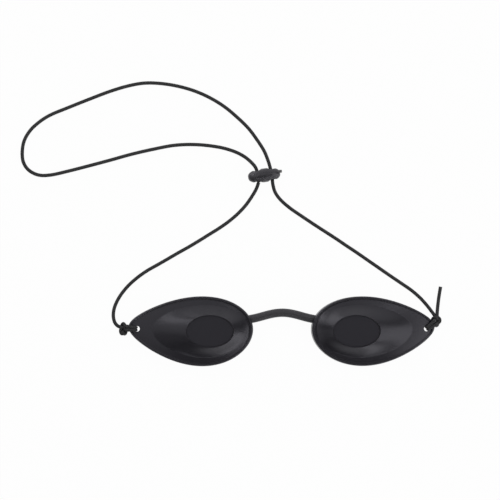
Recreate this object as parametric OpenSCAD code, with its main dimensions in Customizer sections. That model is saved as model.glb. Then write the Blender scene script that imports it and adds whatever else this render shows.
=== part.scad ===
// Tanning goggles: two soft eye cups with small oval viewing lenses, a flexible
// nose bridge, and an elastic cord with a two-hole sliding bead.
// They lie flat, cups up. Millimetres, +Z up, +X across the face, +Y towards the brow.
// The origin is under the middle of the bridge, on the surface that the rims rest on.

/* [Goggles] */
// Width over both outer tips
goggle_w = 120; // [112:1:130]
// Gap between the round inner ends of the two cups
nose_gap_w = 23; // [20:0.5:28]

/* [Eye cup] */
// Greatest width of a cup's rim, brow to cheek
cup_w = 27.2; // [25:0.2:30]
// Depth of a cup, from the skirt's foot to the crest round the lens
cup_h = 10; // [8.5:0.25:12.5]
// Wall of the dome
wall_t = 1.1; // [0.8:0.05:1.3]
// Thickness of the flange
flange_t = 1.2; // [0.9:0.05:1.4]
// Height of the flange's face above the table, along the cup's sides
rim_h = 5.9; // [5.7:0.1:6.1]
// How far the flange rises from the lip to the dome
flange_rise = 0.4; // [0.3:0.05:0.6]
// Thickness of the skirt that runs down from the rim to the table
skirt_t = 1; // [0.85:0.05:1.2]
// Height of the rounded lip above the flange's face
lip_h = 0.35; // [0.2:0.05:0.45]
// Width of the rounded lip
lip_w = 1.3; // [1.1:0.05:1.4]
// Length of the flange at the outer tip
tip_flange_l = 9.2; // [8:0.2:11]
// Width of the flange at the round inner end
inner_flange_w = 1.7; // [1.6:0.05:2.4]
// Greatest width of the dome at its base
dome_w = 20.6; // [19:0.2:21.6]
// How far the outer tip lies above the cup's long axis, towards the brow
tip_rise = 1.6; // [0:0.1:2.5]
// How far the flange's face drops towards the outer tip
tip_drop = 2.6; // [2:0.1:2.8]
// Length over which it drops there
tip_drop_l = 22; // [18:0.5:26]
// How far the flange's face drops towards the nose
nose_drop = 0.6; // [0:0.1:0.8]
// Length over which it drops there
nose_drop_l = 14; // [10:0.5:18]
// Length of the tip's underside that stands off the table, over the cord
tip_foot_l = 10; // [9:0.5:12]

/* [Lens] */
// Length of the oval lens opening
lens_l = 18.4; // [16:0.2:20]
// Width of the oval lens opening
lens_w = 12.3; // [11:0.1:13]
// Distance from the outer tip to the lens's centre
lens_x = 31.4; // [30.4:0.2:32]
// Thickness of the lens above its seat
lens_t = 0.9; // [0.7:0.05:1.1]
// How far the lens's face lies below the crest round it
lens_setback = 0.35; // [0.2:0.05:0.6]
// Width of the seat that the lens rests on
seat_w = 0.9; // [0.7:0.05:1.2]
// Clearance round the lens
lens_gap = 0.06; // [0.05:0.01:0.1]

/* [Nose bridge] */
// Diameter of the bridge rod
bridge_d = 3.3; // [2.8:0.1:3.4]
// Height of the rod's ends above the cups' long axis, towards the brow
bridge_y = 4.8; // [4:0.1:5.4]
// How far the middle of the rod bows towards the brow
bridge_rise = 2.4; // [1:0.1:4]
// Height of the rod's ends above the table
bridge_z = 2.65; // [2.6:0.05:2.75]
// How far the middle of the rod bows away from the face
bridge_lift = 0.8; // [0:0.1:1]
// Length of the rod's straight end, which runs through the skirt into the socket
plug_l = 4.3; // [4:0.1:4.6]
// Wall of the socket round the rod's end
socket_wall = 0.5; // [0.4:0.05:0.55]
// Clearance between the rod's end and the socket
socket_gap = 0.06; // [0.04:0.01:0.1]

/* [Cord] */
// Diameter of the elastic cord
cord_d = 1.4; // [1.2:0.05:1.45]
// Diameter of the cord hole in each tip
cord_hole_d = 2.15; // [2.1:0.05:2.5]
// Distance from the tip to the cord hole's centre
cord_hole_x = 3.3; // [3.1:0.1:4]
// Distance from the cup's long axis to the cord hole's centre, towards the cheek
cord_hole_drop = 0.3; // [0:0.1:0.6]
// Clearance between the tied cord and the flange
lash_gap = 0.08; // [0.06:0.01:0.15]
// Width of a knot across the goggles
knot_w = 3; // [2.6:0.1:3.1]
// Length of a knot along the brow direction
knot_l = 4.9; // [4:0.1:5]
// Height of a knot
knot_h = 3.4; // [3:0.1:3.8]

/* [Sliding bead] */
// Length of the bead without its nub
bead_l = 12.7; // [11:0.1:14]
// Thickness of the bead
bead_d = 5.5; // [4.9:0.1:5.8]
// Diameter of each hole in the bead
bead_hole_d = 2.6; // [2.2:0.05:2.8]
// Distance between the two holes
bead_hole_gap = 5.5; // [5:0.1:6.5]
// Turn of the bead from the goggles' long axis, in degrees
bead_turn = 8; // [0:1:15]
// Diameter of the moulding nub on the bead's end
nub_d = 1.2; // [0.8:0.1:1.6]
// Length of the moulding nub
nub_l = 0.8; // [0.4:0.1:1.2]
// Distance from the bead's long axis to the nub, towards the loop
nub_y = 0.7; // [0:0.1:0.9]

/* [Hidden] */

// One overrun serves all cuts
cut = 1;
// Points round each ring of a cup
ring_n = 48;
// Length of one cup, tip to inner end
cup_l = (goggle_w - nose_gap_w) / 2;
// Where along a cup it is widest, as a share of its length
peak_share = 0.6;
// Half width against an ellipse's: the first at the inner end, less the second at the tip
rim_leaf_shares = [1.09, 0.47];
dome_leaf_shares = [1.1, 0.22];
// Radius at the foot of the skirt
foot_r = 0.25;
// The lip's section, as shares of its width and height
lip_shares = [[0, -1.2], [0.06, -0.1], [0.24, 0.7], [0.5, 1], [0.8, 0.6]];
// Rings between the lip and the dome's base, as shares of the flange's width
flange_shares = [0, 0.3, 0.65];
// Rings up the dome, as shares of the way from its base to the crest
dome_shares = [0.12, 0.28, 0.44, 0.6, 0.76, 0.9];
roof_shares = [1, 0.8, 0.6, 0.4, 0.2, 0];
// The slope of the dome's wall grows as a sine does between these two angles
dome_start = 33;
dome_turn = 110;
dome_climb = cos(dome_start) - cos(dome_turn);
// The crest round the lens is a quarter of an oval, cut off where the wall meets it
crest_w = 0.25;
crest_h = 0.2;
crest_in = 0.08;
crest_angles = [40, 62, 90];
crest_drop = 0.05;
// Level of the seat that the lens rests on, and its thickness
seat_z = cup_h - lens_setback - lens_t;
seat_wall_share = 0.7;
seat_t = wall_t * seat_wall_share;
shoulder_z = cup_h - crest_h * (1 - sin(crest_angles[0]));
shoulder_out = crest_in + crest_w * cos(crest_angles[0]);
// The dome's wall is set off inwards and down by the same amount, as for a slope of 45 degrees
wall_off = wall_t * sin(45);
// Room for the cord under the tip
tip_foot_share = 1.5;
tip_foot = cord_d * tip_foot_share + lash_gap;
dome_x0 = tip_flange_l;
dome_x1 = cup_l - inner_flange_w;

function mix(a, b, t) = a + (b - a) * t;
function leaf_share(shares, a) = shares[0] - shares[1] * pow((1 + cos(a)) / 2, 2);
function leaf_peak(shares) = max([for (a = [0:3:180]) sin(a) * leaf_share(shares, a)]);
// The cup's long axis bends a little towards the brow at both ends
function bend(x) = tip_rise * pow((x / cup_l - peak_share) / peak_share, 2);
// The flange's face drops towards the tip and the nose, and the foot rises at the tip
function turn_up(height, l, x) = x < l ? height * pow(1 - x / l, 2) : 0;
function drop(x) = -turn_up(tip_drop, tip_drop_l, x) - turn_up(nose_drop, nose_drop_l, cup_l - x);
function foot(x) = turn_up(tip_foot, tip_foot_l, x);

// A point of a leaf-shaped outline from x0 to x1 at angle a, which starts at the tip
function leaf(x0, x1, half, shares, a) =
    let (x = mix(x0, x1, (1 - cos(a)) / 2))
    [x, bend(x) + half * sin(a) * leaf_share(shares, a) / leaf_peak(shares)];
function rim_point(inset, a) =
    leaf(inset, cup_l - inset, cup_w / 2 - inset, rim_leaf_shares, a);
function base_point(outset, a) =
    leaf(dome_x0 - outset, dome_x1 + outset, dome_w / 2 + outset, dome_leaf_shares, a);
function lens_point(outset, a) =
    [lens_x - (lens_l / 2 + outset) * cos(a), (lens_w / 2 + outset) * sin(a)];

angles = [for (i = [0:ring_n - 1]) 360 * i / ring_n];
function face_ring(points, z) = [for (p = points) [p[0], p[1], z + drop(p[0])]];
function rim_ring(inset, z) = face_ring([for (a = angles) rim_point(inset, a)], z);
function foot_ring(inset, z) =
    [for (a = angles) let (p = rim_point(inset, a)) [p[0], p[1], z + foot(p[0])]];
function lens_ring(outset, z) = [for (a = angles) concat(lens_point(outset, a), [z])];
// A ring at share t of the way from the lip to the dome's base
function flange_ring(t) =
    face_ring([for (a = angles) mix(rim_point(lip_w, a), base_point(0, a), t)], rim_h + flange_rise * t);
// A ring at share t of the way from the dome's base to the crest round the lens
function climb(t) = (cos(dome_start) - cos(mix(dome_start, dome_turn, t))) / dome_climb;
function dome_ring(base, top, z0, z1, t) = [
    for (a = angles)
        let (p = mix(base_point(base, a), lens_point(top, a), t))
        [p[0], p[1], mix(z0, z1, climb(t)) + drop(p[0]) * (1 - climb(t))]
];

base_z = rim_h + flange_rise;
roof_z = base_z - flange_t;
// How far up the dome its inner wall meets the underside of the seat
seat_climb = (seat_z - seat_t - roof_z) / (shoulder_z - wall_off - roof_z);
seat_meet = (acos(cos(dome_start) - seat_climb * dome_climb) - dome_start) / (dome_turn - dome_start);
cup_rings = concat(
    [foot_ring(foot_r, 0), foot_ring(0, foot_r)],
    [for (s = lip_shares) rim_ring(lip_w * s[0], rim_h + lip_h * s[1])],
    [for (t = flange_shares) flange_ring(t)],
    [for (t = concat([0], dome_shares)) dome_ring(0, shoulder_out, base_z, shoulder_z, t)],
    [for (a = crest_angles) lens_ring(crest_in + crest_w * cos(a), cup_h - crest_h * (1 - sin(a)))],
    [lens_ring(0, cup_h - crest_drop)],
    [lens_ring(0, seat_z)],
    [lens_ring(-seat_w, seat_z)],
    [lens_ring(-seat_w, seat_z - seat_t)],
    [for (t = roof_shares)
        dome_ring(-wall_off, shoulder_out - wall_off, roof_z, shoulder_z - wall_off, t * seat_meet)],
    [rim_ring(skirt_t, rim_h - flange_t)],
    [foot_ring(skirt_t, 0)]
);

// A closed skin through rings that come back to the first one
module ring_skin(rings) {
    n = len(rings);
    m = len(rings[0]);
    polyhedron(
        points = [for (r = rings) each r],
        faces = [
            for (i = [0:n - 1], j = [0:m - 1])
                let (k = (i + 1) % n, l = (j + 1) % m)
                each [
                    [i * m + j, i * m + l, k * m + j],
                    [i * m + l, k * m + l, k * m + j]
                ]
        ]
    );
}

// Sweep of a round cord along points: one ring of points each, flat ends
function unit(v) = v / norm(v);
function heading(path, i) =
    unit(path[min(i + 1, len(path) - 1)] - path[max(i - 1, 0)]);
function sweep_ring(path, i, d, sides, up) =
    let (t = heading(path, i), side = unit(cross(up, t)), top = cross(t, side))
    [for (k = [0:sides - 1])
        path[i] + d / 2 * (cos(360 * k / sides) * side + sin(360 * k / sides) * top)];

module sweep(path, d, sides = 8, up = [0, 0, 1]) {
    n = len(path);
    polyhedron(
        points = [for (i = [0:n - 1]) each sweep_ring(path, i, d, sides, up)],
        faces = concat(
            [[for (k = [0:sides - 1]) k]],
            [for (i = [0:n - 2], k = [0:sides - 1])
                let (l = (k + 1) % sides)
                each [
                    [i * sides + k, (i + 1) * sides + k, i * sides + l],
                    [i * sides + l, (i + 1) * sides + k, (i + 1) * sides + l]
                ]],
            [[for (k = [sides - 1:-1:0]) (n - 1) * sides + k]]
        )
    );
}

// Moves a cup's own frame, with its tip at zero, to the left end of the goggles
module at_left() translate([-goggle_w / 2, 0, 0]) children();
module at_right() mirror([1, 0, 0]) at_left() children();

// The bridge rod: a bow with the slope of a cosine cut off at bridge_bow degrees
bridge_bow = 140;
bridge_n = 20;
// The rod ends just short of the rim's edge, which curves away from the cup's inner end
bridge_end_share = 0.25;
bridge_end_x = nose_gap_w / 2 + inner_flange_w * bridge_end_share;
function bow(t) = (cos(bridge_bow * t) - cos(bridge_bow)) / (1 - cos(bridge_bow));
function bow_slope(rise) =
    rise * bridge_bow * PI / 180 * sin(bridge_bow) / (1 - cos(bridge_bow)) / bridge_end_x;
function bridge_point(t) = [
    bridge_end_x * t,
    bridge_y + bridge_rise * bow(t),
    bridge_z + bridge_lift * bow(t)
];
// The direction in which the rod runs into the left cup
bridge_run = unit([-1, -bow_slope(bridge_rise), -bow_slope(bridge_lift)]);
// Its straight ends carry on from the bow
bridge_end = bridge_run * plug_l;
bridge_path = concat(
    [bridge_point(-1) + bridge_end],
    [for (i = [0:bridge_n]) bridge_point(2 * i / bridge_n - 1)],
    [bridge_point(1) + [-bridge_end[0], bridge_end[1], bridge_end[2]]]
);

// A cylinder into the left cup along the rod, between two depths from the rod's end
module along_rod(d, from, to) {
    translate(bridge_point(-1) + bridge_run * from)
        rotate([0, acos(bridge_run[2]), atan2(bridge_run[1], bridge_run[0])])
            cylinder(d = d, h = to - from, $fn = 48);
}

socket_d = bridge_d + 2 * socket_gap;

hole_y = bend(cord_hole_x) - cord_hole_drop;

// The socket stays inside the cup: it is cut off within the skirt and within the flange
module socket() intersection() {
    along_rod(socket_d + 2 * socket_wall, 0, plug_l + socket_gap + socket_wall);
    at_left() linear_extrude(rim_h - nose_drop - flange_t / 2)
        polygon([for (a = angles) rim_point(skirt_t / 2, a)]);
}

module eye_cup() color([0.10, 0.10, 0.12]) {
    difference() {
        union() {
            at_left() ring_skin(cup_rings);
            socket();
        }
        along_rod(socket_d, 0, plug_l + socket_gap);
        at_left() translate([cord_hole_x, hole_y, 0])
            cylinder(d = cord_hole_d, h = rim_h + cut, $fn = 48);
    }
}

module left_eye_cup() eye_cup();
module right_eye_cup() mirror([1, 0, 0]) eye_cup();

// The lens: an oval plate on the seat, with a plug that fills the opening under it
module lens() color([0.17, 0.17, 0.19]) at_left() {
    plug_z = seat_z - seat_t;
    translate([0, 0, seat_z]) linear_extrude(lens_t)
        polygon([for (a = angles) lens_point(-lens_gap, a)]);
    translate([0, 0, plug_z]) linear_extrude(seat_t + lens_t)
        polygon([for (a = angles) lens_point(-seat_w - lens_gap, a)]);
}

module left_lens() lens();
module right_lens() mirror([1, 0, 0]) lens();

module nose_bridge() color([0.14, 0.14, 0.16]) sweep(bridge_path, bridge_d, sides = 24);

// The bead's centre on the table, from the cord's route
bead_at = [-6.8, 61, bead_d / 2];
// How far the bead reaches more to the left of its holes than to the right
bead_shift = 0.25;
bead_n = 24;
// Roundness of the bead's ends: 2 is an oval, more is blunter
bead_power = 2.6;
function bead_r(t) = bead_d / 2 * pow(1 - pow(abs(t), bead_power), 1 / bead_power);

module slide_bead() color([0.15, 0.15, 0.17])
    translate(bead_at) rotate([0, 0, bead_turn]) difference() {
        union() {
            translate([-bead_shift, 0, 0]) rotate([0, 90, 0]) rotate_extrude($fn = 48)
                polygon(concat(
                    [[0, -bead_l / 2]],
                    [for (i = [1:bead_n - 1])
                        let (t = -cos(180 * i / bead_n))
                        [bead_r(t), t * bead_l / 2]],
                    [[0, bead_l / 2]]
                ));
            translate([bead_l / 2 - bead_shift - nub_l, nub_y, 0]) rotate([0, 90, 0])
                cylinder(d = nub_d, h = 2 * nub_l, $fn = 32);
        }
        for (side = [-1, 1])
            translate([side * bead_hole_gap / 2, bead_d / 2 + cut, 0]) rotate([90, 0, 0])
                cylinder(d = bead_hole_d, h = bead_d + 2 * cut, $fn = 32);
    }

// Routes of the free cord, hand-placed along the way that it lies
left_route = [
    [-9.2, 58.2, 2.6], [-9.9, 56.1, 2.2], [-11.2, 53.6, 1.4], [-13.9, 49.6, 0.75],
    [-17.1, 46.1, 0.72], [-20.7, 43, 0.72], [-24.5, 40.3, 0.72], [-28.5, 37.8, 0.72],
    [-32.5, 35.3, 0.72], [-36.5, 32.9, 0.72], [-40.6, 30.6, 0.72], [-44.7, 28.2, 0.72],
    [-48.7, 25.9, 0.72], [-52.9, 23.5, 0.72], [-56.8, 20.7, 0.72], [-60.3, 17.5, 0.72],
    [-63.3, 13.7, 0.72], [-65.3, 9.7, 0.72], [-65.9, 6.3, 0.75], [-65.4, 3.6, 1.1],
    [-64.2, 2.1, 1.5], [-63, 1.6, 1.7]
];
loop_route = [
    [-9.2, 58.2, 2.6], [-9.6, 61, 2.6], [-10.2, 63.6, 2.6], [-11.8, 65.8, 2.2],
    [-14.8, 68.4, 1.2], [-19, 70.5, 0.72], [-25, 72.1, 0.72], [-33.5, 73, 0.72],
    [-42, 72.7, 0.72], [-50.5, 71.1, 0.72], [-59, 69.1, 0.72], [-67.5, 66.7, 0.72],
    [-76, 64.4, 0.72], [-84.5, 62.2, 0.72], [-90.5, 60.9, 0.72], [-95.1, 60.9, 0.72],
    [-98.9, 62.8, 0.72], [-101, 66, 0.72], [-101.4, 70.2, 0.72], [-100.6, 74.4, 0.72],
    [-98.3, 78.3, 0.72], [-94.8, 81.6, 0.72], [-90.4, 84.4, 0.72], [-83.5, 87.3, 0.72],
    [-75.6, 90.5, 0.72], [-67.6, 93.6, 0.72], [-60.5, 95.8, 0.72], [-54, 97, 0.72],
    [-47.5, 96.9, 0.72], [-40.9, 95.9, 0.72], [-34.4, 94.1, 0.72], [-28.4, 91.5, 0.72],
    [-22.6, 88, 0.72], [-17.5, 83.8, 0.72], [-13.1, 79.5, 0.75], [-9.6, 74.8, 1.1],
    [-7, 70.6, 1.7], [-5.6, 67.1, 2.3], [-4.8, 64.5, 2.6], [-4.2, 61.8, 2.6], [-3.8, 59, 2.6]
];
right_upper_route = [
    [-3.8, 59, 2.6], [-3.5, 57, 2.3], [-2.6, 54.3, 1.6], [-0.4, 51.4, 0.9],
    [3.3, 48.2, 0.72], [7.8, 45.1, 0.72], [12.3, 42.1, 0.72], [16.8, 39.2, 0.72],
    [21.3, 36.3, 0.72], [25.3, 33.6, 0.72]
];
right_lower_route = [
    [25.3, 33.6, 0.72], [29.4, 30.9, 0.72], [33.9, 27.8, 0.72], [38.4, 24.7, 0.72],
    [42.9, 21.6, 0.72], [47.2, 18.7, 0.72], [51, 16.1, 0.72], [54.3, 13.3, 0.72],
    [57, 10.4, 0.72], [58.8, 8.1, 0.9], [60, 6.4, 1.4], [60.7, 5.2, 1.8]
];
tail_route = [[61.2, 5, 2.1], [61.2, 6.7, 1.6], [61.5, 9.3, 0.9], [62, 13.2, 0.72], [62.7, 17.4, 0.72]];
// Each knot's centre, in its cup's own frame with the tip at zero
left_knot_at = [-2.1, 1.3];
right_knot_at = [-1.2, 4];

module cord_colour() color([0.08, 0.08, 0.09]) children();
module cord_left() cord_colour() sweep(left_route, cord_d);
module cord_loop() cord_colour() sweep(loop_route, cord_d);
module cord_right_upper() cord_colour() sweep(right_upper_route, cord_d);
module cord_right_lower() cord_colour() sweep(right_lower_route, cord_d);
module cord_tail() cord_colour() sweep(tail_route, cord_d);

// A pulled-tight knot: an oval lump whose surface swells along three slanting strands
knot_rows = 10;
knot_n = 18;
knot_strands = 3;
// Depth of the grooves between the strands, as a share of the knot's radius
groove_share = 0.16;
function knot_swell(a, b) =
    1 - groove_share * (1 - cos(knot_strands * a + 2 * b)) / 2 * cos(b);
module knot_lump() {
    rows = [
        for (i = [1:knot_rows - 1], j = [0:knot_n - 1])
            let (b = 180 * i / knot_rows - 90, a = 360 * j / knot_n, s = knot_swell(a, b))
            [knot_w / 2 * s * cos(b) * cos(a), knot_l / 2 * sin(b), knot_h / 2 * s * cos(b) * sin(a)]
    ];
    last = len(rows);
    polyhedron(
        points = concat(rows, [[0, -knot_l / 2, 0], [0, knot_l / 2, 0]]),
        faces = concat(
            [for (i = [0:knot_rows - 3], j = [0:knot_n - 1])
                let (l = (j + 1) % knot_n)
                each [
                    [i * knot_n + j, i * knot_n + l, (i + 1) * knot_n + j],
                    [i * knot_n + l, (i + 1) * knot_n + l, (i + 1) * knot_n + j]
                ]],
            [for (j = [0:knot_n - 1])
                [last, (j + 1) % knot_n, j]],
            [for (j = [0:knot_n - 1])
                [last + 1, (knot_rows - 2) * knot_n + j, (knot_rows - 2) * knot_n + (j + 1) % knot_n]]
        )
    );
}

// The cord's turn through the tip hole, from the knot over the tip and back under it.
// r runs from the hole's centre towards the knot, and c is how fast that leaves the cup.
cord_r = cord_d / 2;
lash_r = cord_hole_d / 2;
lash_off = cord_r + lash_gap;
function lash_x(r, c) = cord_hole_x - r * c;
function lash_edge(c) = cord_hole_x / c;
function round_top(r, c, a) =
    [r - lash_off * sin(a), rim_h + flange_rise / 2 + drop(lash_x(r, c)) + lash_off * cos(a)];
function round_under(r, c, a) =
    [r - lash_off * sin(a), rim_h - flange_t + drop(lash_x(r, c)) - lash_off * cos(a)];
function lash_points(knot_r, c) = concat(
    [[knot_r, knot_h / 2 + cord_r]],
    [[lash_edge(c) + lash_gap, rim_h + drop(0) + lip_h + lash_off]],
    [[lash_edge(c) - lip_w / 2, rim_h + drop(lip_w / 2) + lip_h + lash_off + lash_gap]],
    [for (a = [0, 45, 90]) round_top(lash_r, c, a)],
    [for (a = [90, 45, 0]) round_under(lash_r, c, a)],
    [[lash_edge(c) / 2, lash_off]],
    [[lash_edge(c), lash_off]],
    [[knot_r, knot_h / 2 - cord_r]]
);

module tied_knot(at) {
    from = [cord_hole_x, hole_y];
    run = at - from;
    c = -run[0] / norm(run);
    path = [
        for (p = lash_points(norm(run), c))
            let (q = from + unit(run) * p[0])
            [q[0], q[1], p[1]]
    ];
    translate([at[0], at[1], knot_h / 2]) knot_lump();
    sweep(path, cord_d, up = [-run[1], run[0], 0]);
}

module left_knot() cord_colour() at_left() tied_knot(left_knot_at);
module right_knot() cord_colour() at_right() tied_knot(right_knot_at);

left_eye_cup();
right_eye_cup();
left_lens();
right_lens();
nose_bridge();
slide_bead();
cord_left();
cord_loop();
cord_right_upper();
cord_right_lower();
cord_tail();
left_knot();
right_knot();
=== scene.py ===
# %% [markdown]
# # Tanning goggles
# Two soft black eye cups with small dark windows lie on a white table, joined by a thin bridge.
# An elastic cord runs from a knot at each outer tip to a sliding bead, and makes a long loop there.
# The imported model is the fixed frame: it says where each piece is. This script gives every piece
# its fine shape and its finish.

import bmesh
import bpy
import numpy as np
from mathutils import Matrix


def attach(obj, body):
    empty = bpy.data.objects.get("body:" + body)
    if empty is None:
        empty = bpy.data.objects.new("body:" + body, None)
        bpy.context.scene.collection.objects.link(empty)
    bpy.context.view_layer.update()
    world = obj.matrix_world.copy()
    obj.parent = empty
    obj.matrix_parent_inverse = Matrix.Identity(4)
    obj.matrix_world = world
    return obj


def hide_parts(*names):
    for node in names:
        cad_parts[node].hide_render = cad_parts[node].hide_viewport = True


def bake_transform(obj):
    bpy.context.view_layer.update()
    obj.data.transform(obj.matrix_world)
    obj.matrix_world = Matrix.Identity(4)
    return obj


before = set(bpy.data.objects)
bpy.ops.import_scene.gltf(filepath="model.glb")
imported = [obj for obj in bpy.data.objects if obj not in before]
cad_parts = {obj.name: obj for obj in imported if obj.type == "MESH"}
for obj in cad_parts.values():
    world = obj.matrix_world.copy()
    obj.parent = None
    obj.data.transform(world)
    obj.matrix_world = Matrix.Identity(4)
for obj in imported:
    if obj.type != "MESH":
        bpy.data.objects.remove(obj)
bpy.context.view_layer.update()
MM = 0.001

# %% [markdown]
# ## Camera
# The photograph looks down on a flat lay. An orthographic camera would give such a plan too, but both
# windows lie a little further right in their cups than mirror images would, as they do for a lens
# that stands left of the goggles. So this camera has perspective. It stands nearly a metre above and
# a little to the left, and its focal length follows from how much table one pixel shows.

# %% Camera
PHOTO_PIXELS = 500
PIXEL_SIZE = 0.3921 * MM
ORIGIN_PIXEL = np.array([281.65, 331.03])
CAMERA_OFFSET = np.array([-60, -20, 950]) * MM


def unit(vectors):
    """Vectors divided by their own lengths."""
    return vectors / np.linalg.norm(vectors, axis=-1, keepdims=True)


def looking(place, target, up):
    """Matrix of an object at place whose -Z axis points at target, with its Y axis towards up."""
    back = unit(place - target)
    right = unit(np.cross(up, back))
    turn = np.eye(4)
    turn[:3, :4] = np.stack([right, np.cross(back, right), back, place], axis=1)
    return Matrix(turn.tolist())


corner = (PHOTO_PIXELS / 2 - ORIGIN_PIXEL) * PIXEL_SIZE
view_centre = np.array([corner[0], -corner[1], 0])
camera_place = view_centre + CAMERA_OFFSET
camera = bpy.data.objects.new("camera", bpy.data.cameras.new("camera"))
bpy.context.collection.objects.link(camera)
camera.matrix_world = looking(camera_place, view_centre, np.array([0, 1, 0]))
distance = np.linalg.norm(camera_place - view_centre)
camera.data.lens = camera.data.sensor_width * distance / (PHOTO_PIXELS * PIXEL_SIZE)
bpy.context.scene.camera = camera
print("view centre, mm:", np.round(view_centre / MM, 1), "lens:", round(camera.data.lens, 1))

# %% [markdown]
# ## Meshes from grids
# These smooth moulded forms could be sculpted, or built from a coarse cage and a subdivision surface.
# Here every piece is a grid of points worked out in whole arrays, because such a grid follows the
# named sizes exactly: rows go along the piece, and columns go round it. One helper turns a grid into
# a closed mesh. It either joins the last row to the first, as on a ring, or closes each end with one
# point in its middle.

# %% A closed mesh from a grid
def grid_faces(rows, columns, ring):
    """Corner numbers of the quads between neighbouring rows and columns; columns wrap round."""
    r = np.arange(rows if ring else rows - 1)[:, None] + np.zeros(columns, int)
    c = np.arange(columns)[None, :] + np.zeros_like(r)
    nr, nc = (r + 1) % rows, (c + 1) % columns
    quads = np.stack([r * columns + c, r * columns + nc, nr * columns + nc, nr * columns + c], -1)
    return quads.reshape(-1, 4)


def closed_mesh(name, grid, ring=False):
    """An object from a grid of points, with its faces turned outwards."""
    rows, columns = grid.shape[:2]
    points = grid.reshape(-1, 3)
    faces = grid_faces(rows, columns, ring).tolist()
    if not ring:
        first = np.arange(columns)
        last = first + (rows - 1) * columns
        points = np.concatenate([points, [grid[0].mean(0), grid[-1].mean(0)]])
        for pole, rim in ((rows * columns, first), (rows * columns + 1, last)):
            faces += np.stack([np.full(columns, pole), rim, np.roll(rim, -1)], -1).tolist()
    mesh = bpy.data.meshes.new(name)
    mesh.from_pydata(points.tolist(), [], faces)
    obj = bpy.data.objects.new(name, mesh)
    bpy.context.collection.objects.link(obj)
    return faced_out(obj)


def faced_out(obj):
    """Turns a closed mesh's faces outwards and makes it smooth."""
    work = bmesh.new()
    work.from_mesh(obj.data)
    bmesh.ops.recalc_face_normals(work, faces=work.faces)
    work.to_mesh(obj.data)
    work.free()
    obj.data.shade_smooth()
    return obj


# %% A piece's place in the frame
def placed(obj, finish, node, body=None):
    """Gives a piece its finish, and sets it in the frame in place of a node, whose part is hidden.
    It rides on a body if one is given."""
    obj.data.materials.clear()
    obj.data.materials.append(finish)
    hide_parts(node)
    if body:
        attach(obj, body)
    return obj


# %% Small tools for arrays
def mix(a, b, t):
    """The value at share t of the way from a to b."""
    return a + (b - a) * t


def smoothstep(t):
    """A share that starts and ends level: 3t^2 - 2t^3."""
    t = np.clip(t, 0, 1)
    return t * t * (3 - 2 * t)


def between(count, start=0.0, end=1.0, last=False):
    """Evenly spaced shares, without the last one unless it is asked for."""
    return np.linspace(start, end, count, endpoint=last)


def turns(count):
    """Angles round one full turn, without the last."""
    return between(count, end=2 * np.pi)


# %% [markdown]
# ## Finishes
# Everything here is black or nearly so, and what tells the pieces apart is gloss and grain. The cups
# are soft moulded plastic: satin, with a fine even grain and a slight unevenness in their gloss. The
# windows are flat and matte, the bridge is a greyer rubber, the bead has a coarser grain, and the
# cord is textile. Painted textures would need every piece unwrapped. Instead each finish is a
# Principled shader whose plain values sit on its own sockets, and noise on Object coordinates drives
# only what changes over the surface: roughness, a small change of shade, and the bump.

# %% A shader with grain
def finish_nodes(name):
    """A new material, its node tree and its Principled shader."""
    material = bpy.data.materials.new(name)
    material.use_nodes = True
    tree = material.node_tree
    return material, tree, tree.nodes["Principled BSDF"]


def noise(tree, scale, detail=3.0):
    """A noise texture on Object coordinates."""
    place = tree.nodes.new("ShaderNodeTexCoord")
    texture = tree.nodes.new("ShaderNodeTexNoise")
    texture.inputs["Scale"].default_value = scale
    texture.inputs["Detail"].default_value = detail
    tree.links.new(place.outputs["Object"], texture.inputs["Vector"])
    return texture.outputs["Fac"]


def spread(tree, value, low, high):
    """A value from 0 to 1 spread between low and high."""
    node = tree.nodes.new("ShaderNodeMapRange")
    node.inputs["To Min"].default_value = low
    node.inputs["To Max"].default_value = high
    tree.links.new(value, node.inputs["Value"])
    return node.outputs["Result"]


def shade_between(tree, value, dark, light):
    """A colour between dark and light."""
    node = tree.nodes.new("ShaderNodeMix")
    node.data_type = "RGBA"
    node.inputs["A"].default_value = (*dark, 1)
    node.inputs["B"].default_value = (*light, 1)
    tree.links.new(value, node.inputs["Factor"])
    return node.outputs["Result"]


def bump(tree, shader, height, depth):
    """A bump from a height from 0 to 1, with its depth in metres."""
    node = tree.nodes.new("ShaderNodeBump")
    node.inputs["Distance"].default_value = depth
    tree.links.new(height, node.inputs["Height"])
    tree.links.new(node.outputs["Normal"], shader.inputs["Normal"])


# %% Finishes of the moulded pieces
GRAIN_SCALE = 2600
CLOUD_SCALE = 90


def moulded(name, dark, light, smooth, rough, grain_depth, specular=0.5, tint=(1, 1, 1)):
    """Moulded plastic: a slow change of shade and gloss, and a fine grain."""
    material, tree, shader = finish_nodes(name)
    cloud = noise(tree, CLOUD_SCALE)
    tree.links.new(shade_between(tree, cloud, dark, light), shader.inputs["Base Color"])
    tree.links.new(spread(tree, cloud, smooth, rough), shader.inputs["Roughness"])
    shader.inputs["Specular IOR Level"].default_value = specular
    shader.inputs["Specular Tint"].default_value = (*tint, 1)
    bump(tree, shader, noise(tree, GRAIN_SCALE), grain_depth)
    return material


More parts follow.
